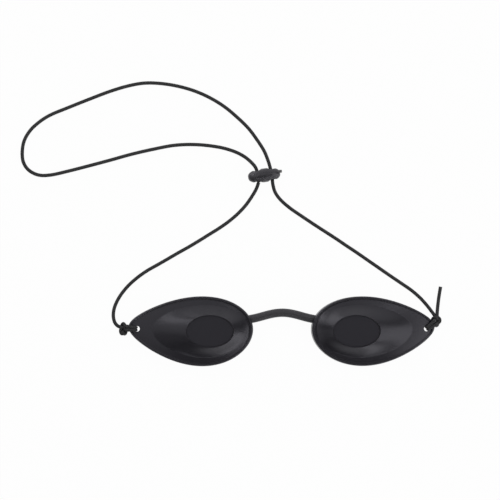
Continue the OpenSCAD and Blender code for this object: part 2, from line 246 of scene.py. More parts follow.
VIOLET_TINT, GREY_TINT = (0.92, 0.9, 1), (0.94, 0.92, 1)
cup_finish = moulded(
    "cup_plastic", (0.014, 0.0134, 0.0168), (0.017, 0.0163, 0.0204),
    smooth=0.31, rough=0.35, grain_depth=0.003 * MM, tint=VIOLET_TINT,
)
lens_finish = moulded(
    "lens_plastic", (0.0145, 0.0138, 0.0178), (0.0165, 0.0157, 0.02),
    smooth=0.5, rough=0.54, grain_depth=0.004 * MM, specular=0.4, tint=VIOLET_TINT,
)
bridge_finish = moulded(
    "bridge_rubber", (0.046, 0.0452, 0.049), (0.056, 0.055, 0.0595),
    smooth=0.34, rough=0.4, grain_depth=0.005 * MM, specular=0.25, tint=GREY_TINT,
)
bead_finish = moulded(
    "bead_plastic", (0.022, 0.0214, 0.0245), (0.042, 0.041, 0.046),
    smooth=0.3, rough=0.38, grain_depth=0.012 * MM, specular=0.6, tint=GREY_TINT,
)
# The stub is the bead's plastic painted paler: a painted highlight for the light it catches.
painted_highlight_stub_finish = moulded(
    "stub_painted_highlight", (0.12, 0.12, 0.12), (0.16, 0.16, 0.16),
    smooth=0.5, rough=0.6, grain_depth=0.012 * MM, specular=0.3,
)
moulded_finishes = (cup_finish, lens_finish, bridge_finish, bead_finish, painted_highlight_stub_finish)
print("finishes:", [finish.name for finish in moulded_finishes])

# %% [markdown]
# ## Cord
# The cord is round elastic in a braided cover, 1.4 mm thick. A plain tube with a painted braid would
# keep a smooth outline, and separate strands would be many pieces. So the cord is one tube whose
# radius follows a real braid: two families of strands wind round it opposite ways and pass over and
# under each other. The height of the strands is a product of cosines. It is kept as an attribute
# too, which paints shade into the grooves: they are coloured darker than the strands.

# %% Where the cord lies, in metres
LEFT_ROUTE = [
    (-0.0092, 0.0582, 0.0026), (-0.0099, 0.0561, 0.0022), (-0.0112, 0.0536, 0.0014),
    (-0.0139, 0.0496, 0.00075), (-0.0171, 0.0461, 0.00072), (-0.0207, 0.043, 0.00072),
    (-0.0245, 0.0403, 0.00072), (-0.0285, 0.0378, 0.00072), (-0.0325, 0.0353, 0.00072),
    (-0.0365, 0.0329, 0.00072), (-0.0406, 0.0306, 0.00072), (-0.0447, 0.0282, 0.00072),
    (-0.0487, 0.0259, 0.00072), (-0.0529, 0.0235, 0.00072), (-0.0568, 0.0207, 0.00072),
    (-0.0603, 0.0175, 0.00072), (-0.0633, 0.0137, 0.00072), (-0.0653, 0.0097, 0.00072),
    (-0.0659, 0.0063, 0.00075), (-0.0654, 0.0036, 0.0011), (-0.0642, 0.0021, 0.0015),
    (-0.063, 0.0016, 0.0017),
]
LOOP_ROUTE = [
    (-0.0092, 0.0582, 0.0026), (-0.0096, 0.061, 0.0026), (-0.0102, 0.0636, 0.0026),
    (-0.0118, 0.0658, 0.0022), (-0.0148, 0.0684, 0.0012), (-0.019, 0.0705, 0.00072),
    (-0.025, 0.0721, 0.00072), (-0.0335, 0.073, 0.00072), (-0.042, 0.0727, 0.00072),
    (-0.0505, 0.0711, 0.00072), (-0.059, 0.0691, 0.00072), (-0.0675, 0.0667, 0.00072),
    (-0.076, 0.0644, 0.00072), (-0.0845, 0.0622, 0.00072), (-0.0905, 0.0609, 0.00072),
    (-0.0951, 0.0609, 0.00072), (-0.0989, 0.0628, 0.00072), (-0.101, 0.066, 0.00072),
    (-0.1014, 0.0702, 0.00072), (-0.1006, 0.0744, 0.00072), (-0.0983, 0.0783, 0.00072),
    (-0.0948, 0.0816, 0.00072), (-0.0904, 0.0844, 0.00072), (-0.0835, 0.0873, 0.00072),
    (-0.0756, 0.0905, 0.00072), (-0.0676, 0.0936, 0.00072), (-0.0605, 0.0958, 0.00072),
    (-0.054, 0.097, 0.00072), (-0.0475, 0.0969, 0.00072), (-0.0409, 0.0959, 0.00072),
    (-0.0344, 0.0941, 0.00072), (-0.0284, 0.0915, 0.00072), (-0.0226, 0.088, 0.00072),
    (-0.0175, 0.0838, 0.00072), (-0.0131, 0.0795, 0.00075), (-0.0096, 0.0748, 0.0011),
    (-0.007, 0.0706, 0.0017), (-0.0056, 0.0671, 0.0023), (-0.0048, 0.0645, 0.0026),
    (-0.0042, 0.0618, 0.0026), (-0.0038, 0.059, 0.0026),
]
RIGHT_UPPER_ROUTE = [
    (-0.0038, 0.059, 0.0026), (-0.0035, 0.057, 0.0023), (-0.0026, 0.0543, 0.0016),
    (-0.0004, 0.0514, 0.0009), (0.0033, 0.0482, 0.00072), (0.0078, 0.0451, 0.00072),
    (0.0123, 0.0421, 0.00072), (0.0168, 0.0392, 0.00072), (0.0213, 0.0363, 0.00072),
    (0.0253, 0.0336, 0.00072),
]
RIGHT_LOWER_ROUTE = [
    (0.0253, 0.0336, 0.00072), (0.0294, 0.0309, 0.00072), (0.0339, 0.0278, 0.00072),
    (0.0384, 0.0247, 0.00072), (0.0429, 0.0216, 0.00072), (0.0472, 0.0187, 0.00072),
    (0.051, 0.0161, 0.00072), (0.0543, 0.0133, 0.00072), (0.057, 0.0104, 0.00072),
    (0.0588, 0.0081, 0.0009), (0.06, 0.0064, 0.0014), (0.0607, 0.0052, 0.0018),
]
TAIL_ROUTE = [
    (0.0612, 0.005, 0.0021), (0.0612, 0.0067, 0.0016), (0.0615, 0.0093, 0.0009),
    (0.062, 0.0132, 0.00072), (0.0627, 0.0174, 0.00072),
]

# %% A smooth path through listed points
CORD_STEP = 0.12 * MM


def evenly_spaced(line, step):
    """The same line with points every step along it."""
    far = np.concatenate([[0], np.cumsum(np.linalg.norm(np.diff(line, axis=0), axis=1))])
    marks = np.linspace(0, far[-1], max(4, round(far[-1] / step) + 1))
    return np.stack([np.interp(marks, far, line[:, i]) for i in range(3)], axis=1)


def smooth_path(points, step, per_span=40):
    """A cubic through each pair of points, whose slope at a point is half of next less previous."""
    p = np.array(points, float)
    p = np.concatenate([[2 * p[0] - p[1]], p, [2 * p[-1] - p[-2]]])[:, None, :]
    a, b, c, d = p[:-3], p[1:-2], p[2:-1], p[3:]
    t = np.linspace(0, 1, per_span, endpoint=False)[None, :, None]
    line = b + ((c - a) * t + (2 * a - 5 * b + 4 * c - d) * t**2 + (3 * b - a - 3 * c + d) * t**3) / 2
    return evenly_spaced(np.concatenate([line.reshape(-1, 3), [points[-1]]]), step)


def path_length(path):
    """Length of a line of points."""
    return float(np.linalg.norm(np.diff(path, axis=0), axis=1).sum())


# %% A braided tube along a path
CORD_WIDTH = 1.4 * MM
CORD_SIDES = 32
BRAID_STRANDS = 8
BRAID_STEP = 0.62 * MM
BRAID_DEPTH_SHARE = 0.1
NOMINAL_HEIGHT, END_HEIGHT = 0.8, 0.5


def braid_height(turn, along):
    """Height of the strands from 0 to 1: turn goes round the cord once, along is a length. Each
    family's ridges are a raised cosine, and the product of two half-speed cosines, which is 1 at one
    crossing and -1 at the next, says which family lies on top there."""
    one = BRAID_STRANDS * turn + along / BRAID_STEP
    two = BRAID_STRANDS * turn - along / BRAID_STEP
    over = np.cos(np.pi * one) * np.cos(np.pi * two)
    first = (1 + np.cos(2 * np.pi * one)) / 2 * (1 + over) / 2
    second = (1 + np.cos(2 * np.pi * two)) / 2 * (1 - over) / 2
    return np.maximum(first, second)


def carried_frames(path):
    """Side and top directions along a path that never twist: each step turns the last side only
    as far as the path itself turned."""
    heading = unit(np.gradient(path, axis=0))
    least = np.eye(3)[np.argmin(np.abs(heading[0]))]
    side = np.empty_like(path)
    side[0] = unit(np.cross(least, heading[0]))
    for i in range(1, len(path)):
        flat = side[i - 1] - heading[i] * (side[i - 1] @ heading[i])
        side[i] = flat / np.linalg.norm(flat)
    return side, np.cross(heading, side)


def braided_tube(name, path, width=CORD_WIDTH, taper=None):
    """A cord along a path: circles square to the path whose radius rises and falls with the braid.
    taper gives the width's share at each point of the path. The closing point at each end has a
    height of its own."""
    side, top = carried_frames(path)
    along = np.linspace(0, path_length(path), len(path))[:, None]
    turn = between(CORD_SIDES)[None, :]
    height = braid_height(turn, along)
    share = np.ones(len(path)) if taper is None else taper
    radius = width / 2 * share[:, None] * (1 + BRAID_DEPTH_SHARE * (height - NOMINAL_HEIGHT))
    angle = 2 * np.pi * turn
    grid = path[:, None, :] + radius[..., None] * (
        np.cos(angle)[..., None] * side[:, None, :] + np.sin(angle)[..., None] * top[:, None, :]
    )
    obj = closed_mesh(name, grid)
    strand = obj.data.attributes.new("strand", "FLOAT", "POINT")
    heights = np.append(height.ravel(), [END_HEIGHT, END_HEIGHT])
    strand.data.foreach_set("value", heights.astype(np.float32))
    return obj


# %% Finish of the cord
FUZZ_SCALE, FUZZ_DETAIL, FUZZ_DEPTH = 9000, 2.0, 0.02 * MM


def textile(name, groove_painted_shade, strand):
    """Braided textile: dull, with painted shade in its grooves, and a fuzz of fine threads."""
    material, tree, shader = finish_nodes(name)
    height = tree.nodes.new("ShaderNodeAttribute")
    height.attribute_name = "strand"
    colour = shade_between(tree, height.outputs["Fac"], groove_painted_shade, strand)
    tree.links.new(colour, shader.inputs["Base Color"])
    shader.inputs["Roughness"].default_value = 0.6
    shader.inputs["Specular IOR Level"].default_value = 0.15
    bump(tree, shader, noise(tree, FUZZ_SCALE, FUZZ_DETAIL), FUZZ_DEPTH)
    return material


# The first colour is painted shade for the grooves between the strands, the second the strands' own.
cord_finish = textile("elastic_cord", (0.024, 0.024, 0.025), (0.056, 0.056, 0.058))
print("finish of the cord:", cord_finish.name)

# %% [markdown]
# One unbroken tube could follow one body only. The cord is therefore cut where its stretches belong
# to different moving bodies: at the bead, and half way down the right side.

# %% The four long stretches
ROUTES = {
    "cord_left": LEFT_ROUTE,
    "cord_loop": LOOP_ROUTE,
    "cord_right_upper": RIGHT_UPPER_ROUTE,
    "cord_right_lower": RIGHT_LOWER_ROUTE,
}
stretch_paths = {name: smooth_path(route, CORD_STEP) for name, route in ROUTES.items()}
stretches = {}
for name, path in stretch_paths.items():
    stretches[name] = braided_tube(name + "_braid", path)
    placed(stretches[name], cord_finish, name)
    print(name, "length, mm:", round(path_length(path) / MM, 1))

# %% [markdown]
# ## Knots
# At each tip the cord goes through the hole, round the edge, and is tied to itself. A lump with a
# noise bump would pass from afar, but up close the eye follows the strands. A knot that is pulled
# tight keeps the three crossing lobes of a trefoil, so each knot is a trefoil drawn with the same
# braided tube, squeezed to the size of the photographed lump. Two more tubes are the turns of cord
# through the hole, which end inside the knot.

# %% The cups' outline, which the knots need too
GOGGLE_WIDTH = 120 * MM
NOSE_GAP = 23 * MM
CUP_LENGTH = (GOGGLE_WIDTH - NOSE_GAP) / 2
CUP_WIDTH = 27.2 * MM
CUP_HEIGHT = 10 * MM
RIM_HEIGHT = 5.9 * MM
FLANGE = 1.2 * MM
FLANGE_RISE = 0.4 * MM
SKIRT = 1 * MM
LIP_HEIGHT = 0.35 * MM
LIP_WIDTH = 1.3 * MM
TIP_RISE = 1.6 * MM
TIP_DROP, TIP_DROP_LENGTH = 2.6 * MM, 22 * MM
NOSE_DROP, NOSE_DROP_LENGTH = 0.6 * MM, 14 * MM
LASH_GAP = 0.08 * MM
TIP_FOOT_SHARE, TIP_FOOT_LENGTH = 1.5, 10 * MM
TIP_FOOT = CORD_WIDTH * TIP_FOOT_SHARE + LASH_GAP
PEAK_SHARE = 0.6


def bend(x):
    """The cup's long axis bends towards the brow at both ends: a parabola."""
    return TIP_RISE * ((x / CUP_LENGTH - PEAK_SHARE) / PEAK_SHARE) ** 2


def turn_up(height, length, x):
    """A parabola from height at zero that ends level at length."""
    return height * np.clip(1 - x / length, 0, None) ** 2


def drop(x):
    """The flange's face drops towards the tip and the nose."""
    return -turn_up(TIP_DROP, TIP_DROP_LENGTH, x) - turn_up(NOSE_DROP, NOSE_DROP_LENGTH, CUP_LENGTH - x)


def foot(x):
    """The skirt's foot rises at the tip, over the cord."""
    return turn_up(TIP_FOOT, TIP_FOOT_LENGTH, x)


# %% A trefoil knot, pulled tight
KNOT_STEP, KNOT_POINTS = 0.1 * MM, 400
LOBE_RADIUS = 0.95 * MM
LOBE_SWING = 0.52 * MM
KNOT_CORD_WIDTH = 1.25 * MM
KNOT_HEIGHT = 3.4 * MM


def trefoil(centre, turn, size):
    """A circle that is gone round twice while it swings in and out and up and down three times,
    turned about the vertical, and then stretched by size along X, Y and Z."""
    t = np.linspace(0, 2 * np.pi, KNOT_POINTS)
    far = LOBE_RADIUS + LOBE_SWING * np.cos(3 * t)
    high = -LOBE_SWING * np.sin(3 * t)
    line = np.stack([far * np.cos(2 * t + turn), far * np.sin(2 * t + turn), high], axis=1)
    return evenly_spaced(line * size + centre, KNOT_STEP)


# %% The cord's turn through a tip hole
CORD_HOLE = 2.15 * MM
CORD_HOLE_X, CORD_HOLE_DROP = 3.3 * MM, 0.3 * MM
LASH_CORD_WIDTH = 1.4 * MM
SQUEEZE_IN_HOLE = 0.8
KNOT_BITE = 0.7
LANE_AT_HOLE, LANE_AT_KNOT = 0.5 * MM, 0.8 * MM


def lash(knot, mirror, lane):
    """One turn of cord from the knot over the tip, down through the hole and back under the tip. The
    cord goes round twice, and lane says on which side of the line from hole to knot this turn lies:
    -1 or 1. Towards the knot the two turns move apart. far and high are the places of its points:
    how far from the hole's middle towards the knot, and how high above the table."""
    hole = np.array([CORD_HOLE_X, bend(CORD_HOLE_X) - CORD_HOLE_DROP])
    run = np.array(knot) - hole
    reach = np.linalg.norm(run)
    ahead = run / reach
    across = np.array([-ahead[1], ahead[0]])
    slant = -ahead[0]
    edge = CORD_HOLE_X / slant
    in_knot = mix(edge, reach, KNOT_BITE)
    off = CORD_WIDTH / 2 + LASH_GAP
    wall = CORD_HOLE / 2
    arc = np.radians([0, 45, 90])
    in_hole, clear = wall - off * np.sin(arc), off * np.cos(arc)
    over = RIM_HEIGHT + FLANGE_RISE / 2 + (drop(CORD_HOLE_X - in_hole * slant) + clear)
    under = RIM_HEIGHT - FLANGE + (drop(CORD_HOLE_X - in_hole[::-1] * slant) - clear[::-1])
    above = RIM_HEIGHT + LIP_HEIGHT + off
    far = np.array([
        in_knot, edge + LASH_GAP, edge - LIP_WIDTH / 2, *in_hole, *in_hole[::-1], edge / 2, edge, in_knot,
    ])
    high = np.array([
        KNOT_HEIGHT / 2, above + drop(0), above + drop(LIP_WIDTH / 2) + LASH_GAP, *over, *under,
        off, off, KNOT_HEIGHT / 2 - CORD_WIDTH / 2,
    ])
    aside = lane * mix(LANE_AT_HOLE, LANE_AT_KNOT, smoothstep((far - wall) / (reach - wall)))
    flat = hole + far[:, None] * ahead + aside[:, None] * across
    points = np.column_stack([flat[:, 0] - GOGGLE_WIDTH / 2, flat[:, 1], high])
    points[:, 0] *= mirror
    return smooth_path(points, CORD_STEP)


# %% Both knots and the loose tail
LEFT_KNOT = np.array([-2.1, 1.3]) * MM
RIGHT_KNOT = np.array([-1.2, 4]) * MM
LEFT_SHIFT = np.array([0.1, -0.6, 0]) * MM
RIGHT_SHIFT = np.array([-0.4, -0.1, 0]) * MM
LEFT_STRETCH, RIGHT_STRETCH = (0.8, 1.55, 2), (1.05, 1.25, 2)


def tied(side, knot, mirror, turn, size, shift, body):
    """A trefoil and two turns through the hole, which together replace one knot of the frame."""
    centre = np.array([mirror * (knot[0] - GOGGLE_WIDTH / 2), knot[1], KNOT_HEIGHT / 2]) + shift
    lump = trefoil(centre, turn, size)
    pieces = [braided_tube(side + "_knot_turns", lump, KNOT_CORD_WIDTH)]
    for lane, name in ((-1, "_tip_turn_cheek"), (1, "_tip_turn_brow")):
        path = lash(knot, mirror, lane)
        past_tip = (np.abs(path[:, 0]) - GOGGLE_WIDTH / 2 + CORD_HOLE_X) / CORD_HOLE_X
        taper = mix(SQUEEZE_IN_HOLE, 1, smoothstep(past_tip))
        pieces.append(braided_tube(side + name, path, LASH_CORD_WIDTH, taper))
    lengths = np.round([path_length(lump) / MM, path_length(path) / MM], 1)
    print(side, "knot and one turn, mm of cord:", lengths)
    return [placed(piece, cord_finish, side + "_knot", body) for piece in pieces]


left_tie = tied("left", LEFT_KNOT, 1, np.pi / 2, LEFT_STRETCH, LEFT_SHIFT, "left_cup")
right_tie = tied("right", RIGHT_KNOT, -1, -np.pi / 2, RIGHT_STRETCH, RIGHT_SHIFT, "right_cup")

tail_path = smooth_path(TAIL_ROUTE, CORD_STEP)
tail = placed(
    braided_tube("cord_tail_braid", tail_path), cord_finish, "cord_tail", "right_cup"
)
print("tail length, mm:", round(path_length(tail_path) / MM, 1))

# %% [markdown]
# ## Eye cups
# A cup is one soft moulded skin. It could be cut from a solid with Booleans, but its walls then meet
# in hard seams. Here it is a ring of outlines, so that every bend is as smooth as in a mould. The plan
# is a leaf: an ellipse whose half width is changed by the angle, so that it comes to a narrow tip.
# The rows go up the skirt, over the rounded lip, across the sloping flange, up the dome to the crest
# round the window, down to the window's seat, and back along the inside. Each outline is computed
# for all angles at once.

# %% Outlines of a cup
WALL = 1.1 * MM
TIP_FLANGE = 9.2 * MM
INNER_FLANGE = 1.7 * MM
DOME_WIDTH = 20.6 * MM
WINDOW_LENGTH, WINDOW_WIDTH = 18.4 * MM, 12.3 * MM
WINDOW_X = 31.4 * MM
WINDOW_SETBACK = 0.35 * MM
LENS_THICKNESS = 0.9 * MM
SEAT_WIDTH = 0.9 * MM
FOOT_RADIUS = 0.25 * MM
DOME_START, DOME_TURN = np.radians(33), np.radians(110)
CREST_WIDTH, CREST_HEIGHT = 0.25 * MM, 0.2 * MM
CREST_IN, CREST_DROP = 0.08 * MM, 0.05 * MM
CREST_START = np.radians(40)
SEAT_WALL_SHARE = 0.7
RIM_LEAF_SHARES = (1.09, 0.47)
DOME_LEAF_SHARES = (1.1, 0.22)
CUP_COLUMNS = 288
SEAT_Z = CUP_HEIGHT - WINDOW_SETBACK - LENS_THICKNESS
SEAT_BOTTOM = SEAT_Z - WALL * SEAT_WALL_SHARE
SHOULDER_Z = CUP_HEIGHT - CREST_HEIGHT * (1 - np.sin(CREST_START))
SHOULDER_OUT = CREST_IN + CREST_WIDTH * np.cos(CREST_START)
WALL_OFF = WALL * np.sin(np.radians(45))
BASE_Z = RIM_HEIGHT + FLANGE_RISE
ROOF_Z = BASE_Z - FLANGE
CLIMB = np.cos(DOME_START) - np.cos(DOME_TURN)
angles = turns(CUP_COLUMNS)


def leaf_share(shares, a):
    """Half width against an ellipse's at angle a: the first share less the second towards the tip."""
    return shares[0] - shares[1] * ((1 + np.cos(a)) / 2) ** 2


def leaf(start, end, half, shares):
    """A leaf outline from start to end along the bent axis, whose half width is half at its widest.
    start, end and half are columns, one for each row of the grid. The widest place is looked for
    every 3 degrees."""
    looked = np.radians(np.arange(0, 181, 3))
    peak = np.max(np.sin(looked) * leaf_share(shares, looked))
    x = mix(start, end, (1 - np.cos(angles)) / 2)
    y = bend(x) + half * np.sin(angles) * leaf_share(shares, angles) / peak
    return np.stack([x, y], axis=-1)


def column(values):
    """A list of values as a column, so that it meets the angles as a grid."""
    return np.atleast_1d(np.asarray(values, float))[:, None]


def rim_rows(inset):
    """The cup's outline, drawn in by inset."""
    inset = column(inset)
    return leaf(inset, CUP_LENGTH - inset, CUP_WIDTH / 2 - inset, RIM_LEAF_SHARES)


def base_rows(outset):
    """The outline of the dome's foot, let out by outset."""
    outset = column(outset)
    start, end = TIP_FLANGE - outset, CUP_LENGTH - INNER_FLANGE + outset
    return leaf(start, end, DOME_WIDTH / 2 + outset, DOME_LEAF_SHARES)


def window_rows(outset):
    """The window's oval, let out by outset."""
    outset = column(outset)
    x = WINDOW_X - (WINDOW_LENGTH / 2 + outset) * np.cos(angles)
    return np.stack([x, (WINDOW_WIDTH / 2 + outset) * np.sin(angles)], axis=-1)


# %% Outlines at a height
def face_rows(flat, z):
    """Rows at height z on the sloping face."""
    return at_height(flat, column(z) + drop(flat[..., 0]))


def foot_rows(flat, z):
    """Rows at height z above the skirt's foot."""
    return at_height(flat, column(z) + foot(flat[..., 0]))


def at_height(flat, z):
    """Rows at height z above the table: one height for each row, or one for each point."""
    z = np.asarray(z, float)
    z = z if z.ndim == 2 else column(z)
    rows = np.broadcast_shapes(flat.shape[:2], z.shape)
    return np.concatenate([np.broadcast_to(flat, (*rows, 2)), np.broadcast_to(z, rows)[..., None]], axis=-1)


# %% Rows of the dome
def climb(t):
    """Height up the dome at share t of its wall: the slope grows as a sine does from DOME_START."""
    return (np.cos(DOME_START) - np.cos(mix(DOME_START, DOME_TURN, t))) / CLIMB


def climbed(height):
    """The share of the wall at which climb comes to height."""
    return (np.arccos(np.cos(DOME_START) - height * CLIMB) - DOME_START) / (DOME_TURN - DOME_START)


def dome_rows(base, top, low, high, t):
    """Rows at share t from the dome's base to the crest round the window."""
    t = column(t)
    flat = mix(base_rows(base), window_rows(top), t[..., None])
    z = mix(low, high, climb(t)) + drop(flat[..., 0]) * (1 - climb(t))
    return np.concatenate([flat, z[..., None]], axis=-1)


def mixed_rows(first, last, t):
    """Rows at shares t of the way from one row to another."""
    return mix(first, last, t[:, None, None])


# %% The skin, row by row
ROOF_SHOULDER_Z = SHOULDER_Z - WALL_OFF
seat_meet = climbed((SEAT_BOTTOM - ROOF_Z) / (ROOF_SHOULDER_Z - ROOF_Z))
quarter = between(7) * np.pi / 2
crest = between(14, CREST_START, np.pi / 2)
flange_row = between(16)
steps = between(8)
outer_rows = np.concatenate([
    # the skirt's rounded foot and its outer side
    foot_rows(rim_rows(FOOT_RADIUS * (1 - np.sin(quarter))), FOOT_RADIUS * (1 - np.cos(quarter))),
    mixed_rows(foot_rows(rim_rows(0), FOOT_RADIUS), face_rows(rim_rows(0), RIM_HEIGHT - LIP_HEIGHT), steps),
    # the lip and the flange
    face_rows(
        rim_rows(LIP_WIDTH / 2 * (1 - np.cos(quarter))),
        RIM_HEIGHT + mix(-LIP_HEIGHT, LIP_HEIGHT, np.sin(quarter)),
    ),
    face_rows(
        rim_rows(LIP_WIDTH / 2 * (1 + steps)),
        RIM_HEIGHT + LIP_HEIGHT * (1 + np.cos(np.pi * steps)) / 2,
    ),
    face_rows(
        mixed_rows(rim_rows(LIP_WIDTH), base_rows(0), flange_row),
        RIM_HEIGHT + FLANGE_RISE * flange_row,
    ),
])
window_edge_rows = np.concatenate([
    # the dome, the crest round the window, and the wall down to the window's seat
    dome_rows(0, SHOULDER_OUT, BASE_Z, SHOULDER_Z, between(44)),
    at_height(
        window_rows(CREST_IN + CREST_WIDTH * np.cos(crest)), CUP_HEIGHT - CREST_HEIGHT * (1 - np.sin(crest))
    ),
    at_height(
        window_rows(CREST_IN * (1 - np.sin(quarter))), CUP_HEIGHT - CREST_DROP * (1 - np.cos(quarter))
    ),
    at_height(window_rows(0), mix(CUP_HEIGHT - CREST_DROP, SEAT_Z, between(4))),
    at_height(window_rows(-SEAT_WIDTH * between(3)), SEAT_Z),
    at_height(window_rows(-SEAT_WIDTH), mix(SEAT_Z, SEAT_BOTTOM, between(3))),
])
inner_rows = np.concatenate([
    # the roof of the hollow, the flange's underside, and the skirt's inner side and foot
    dome_rows(
        -WALL_OFF, SHOULDER_OUT - WALL_OFF, ROOF_Z, ROOF_SHOULDER_Z, seat_meet * (1 - between(30))
    ),
    face_rows(mixed_rows(base_rows(-WALL_OFF), rim_rows(SKIRT), steps), ROOF_Z - FLANGE_RISE * steps),
    mixed_rows(face_rows(rim_rows(SKIRT), RIM_HEIGHT - FLANGE), foot_rows(rim_rows(SKIRT), 0), steps),
    foot_rows(rim_rows(mix(SKIRT, FOOT_RADIUS, between(3))), 0),
])
cup_rows = np.concatenate([outer_rows, window_edge_rows, inner_rows])
print("skin of a cup:", cup_rows.shape[0], "rows of", cup_rows.shape[1], "points")

# %% [markdown]
# The cord hole and the bridge's socket don't fit a ring of outlines, so they are cut from that skin
# with Boolean modifiers, which are applied at once. The cutter of the hole is a spool: it widens
# where it leaves the flange on both sides, so the hole gets a rounded edge. The socket needs a boss
# round it inside the cup: a rod that is trimmed within the skirt and the flange, and joined to the
# skin first.

# %% Rods and spools
def rod_rows(start, heading, marks, radii, columns=64):
    """Circles of the given radii round a straight line, one at each mark along it."""
    heading = unit(np.asarray(heading, float))
    side = unit(np.cross(np.eye(3)[np.argmin(np.abs(heading))], heading))
    top = np.cross(heading, side)
    a = turns(columns)
    ring = np.cos(a)[:, None] * side + np.sin(a)[:, None] * top
    return start + np.asarray(marks)[:, None, None] * heading + np.asarray(radii)[:, None, None] * ring


def cut_with(obj, cutter, operation):
    """Applies one Boolean and removes the cutter."""
    tool = obj.modifiers.new("cut", "BOOLEAN")
    tool.operation = operation
    tool.solver = "EXACT"
    tool.object = cutter
    baked = bpy.data.meshes.new_from_object(obj.evaluated_get(bpy.context.evaluated_depsgraph_get()))
    obj.modifiers.clear()
    obj.data = baked
    bpy.data.objects.remove(cutter)
    return obj


# %% The bridge's run into a cup
BRIDGE_WIDTH = 3.3 * MM
BRIDGE_Y, BRIDGE_RISE = 4.8 * MM, 2.4 * MM
BRIDGE_Z, BRIDGE_LIFT = 2.65 * MM, 0.8 * MM
BRIDGE_BOW = np.radians(140)
BRIDGE_IN_SHARE = 0.25
BRIDGE_END = NOSE_GAP / 2 + INNER_FLANGE * BRIDGE_IN_SHARE
PLUG_LENGTH = 4.3 * MM
SOCKET_WALL, SOCKET_GAP = 0.5 * MM, 0.06 * MM
BOSS_ROWS = 8
OVERRUN = 1 * MM
NEAR_END = 0.999


def bridge_line(t):
    """The rod's middle line, t from -1 to 1: its bow follows the top of a cosine."""
    bow = (np.cos(BRIDGE_BOW * t) - np.cos(BRIDGE_BOW)) / (1 - np.cos(BRIDGE_BOW))
    return np.stack([BRIDGE_END * t, BRIDGE_Y + BRIDGE_RISE * bow, BRIDGE_Z + BRIDGE_LIFT * bow], axis=-1)


bridge_start = bridge_line(np.array([-1.0]))[0]
bridge_run = unit(bridge_start - bridge_line(np.array([-NEAR_END]))[0])


def boss_part(name, width, start, end):
    """A rod into the left cup along the bridge's run."""
    marks = np.linspace(start, end, BOSS_ROWS)
    return closed_mesh(name, rod_rows(bridge_start, bridge_run, marks, np.full(BOSS_ROWS, width / 2)))


# %% The cord hole's cutter
HOLE_EDGE = 0.05 * MM
SLOPE_STEP = 0.1 * MM


def hole_spool():
    """A vertical rod through the tip that widens by a quarter circle at each face of the flange. Its
    rings slant with the flange."""
    flange_slope = FLANGE_RISE / (TIP_FLANGE - LIP_WIDTH)
    high = RIM_HEIGHT + flange_slope * (CORD_HOLE_X - LIP_WIDTH) + drop(CORD_HOLE_X)
    low = high - FLANGE
    a = between(9, last=True) * np.pi / 2
    top = high - HOLE_EDGE * (1 - np.sin(a))
    wide = CORD_HOLE / 2 + HOLE_EDGE * (1 - np.cos(a))
    heights = np.concatenate([[low - OVERRUN / 2], (low + high - top)[::-1], top, [high + OVERRUN]])
    radii = np.concatenate([[wide[-1]], wide[::-1], wide, [wide[-1]]])
    slope = (drop(CORD_HOLE_X + SLOPE_STEP) - drop(CORD_HOLE_X - SLOPE_STEP)) / (2 * SLOPE_STEP)
    slope += flange_slope
    round_hole = turns(96)
    x = radii[:, None] * np.cos(round_hole)
    y = radii[:, None] * np.sin(round_hole)
    z = heights[:, None] + slope * x
    middle = np.array([CORD_HOLE_X - GOGGLE_WIDTH / 2, bend(CORD_HOLE_X) - CORD_HOLE_DROP, 0])
    return closed_mesh("hole_cutter", np.stack([x, y, z], axis=-1) + middle)


# %% Both cups
SHARP = np.radians(38)


def soft_edges(obj):
    """Smooth shading that breaks at edges sharper than SHARP."""
    for other in bpy.context.selected_objects:
        other.select_set(False)
    obj.select_set(True)
    bpy.context.view_layer.objects.active = obj
    bpy.ops.object.shade_smooth_by_angle(angle=SHARP)
    return obj


socket_width = BRIDGE_WIDTH + 2 * SOCKET_GAP
socket_depth = PLUG_LENGTH + SOCKET_GAP
left_tip = np.array([-GOGGLE_WIDTH / 2, 0, 0])
skin = closed_mesh("left_cup_skin", cup_rows + left_tip, ring=True)
boss = boss_part("boss", socket_width + 2 * SOCKET_WALL, 0, socket_depth + SOCKET_WALL)
within = np.array([0, RIM_HEIGHT - NOSE_DROP - FLANGE / 2])
trim = closed_mesh("trim", at_height(rim_rows(SKIRT / 2), within) + left_tip)
cut_with(boss, trim, "INTERSECT")
cut_with(skin, boss, "UNION")
cut_with(skin, boss_part("bore", socket_width, -OVERRUN, socket_depth), "DIFFERENCE")
cut_with(skin, hole_spool(), "DIFFERENCE")
soft_edges(skin)


def mirrored(obj, name):
    """A copy on the other side of the bridge, with its faces turned back outwards."""
    copy = bpy.data.objects.new(name, obj.data.copy())
    bpy.context.collection.objects.link(copy)
    copy.data.transform(Matrix.Scale(-1, 4, (1, 0, 0)))
    copy.data.flip_normals()
    return copy


right_skin = mirrored(skin, "right_cup_skin")
placed(skin, cup_finish, "left_eye_cup", "left_cup")
placed(right_skin, cup_finish, "right_eye_cup", "right_cup")
print("faces of a cup:", len(skin.data.polygons))

# %% [markdown]
# ## Windows
# A window is a thin oval plate of dark filter that sits on the seat, a little below the crest. A
# flattened cylinder with a bevel would do, but rows of the same oval as the crest's keep the gap even
# all round. The top edge is rounded by a small quarter circle, which draws the crisp dark outline.

# %% Both windows
LENS_GAP, LENS_EDGE = 0.06 * MM, 0.06 * MM
MIDDLE_SHARE = 0.96


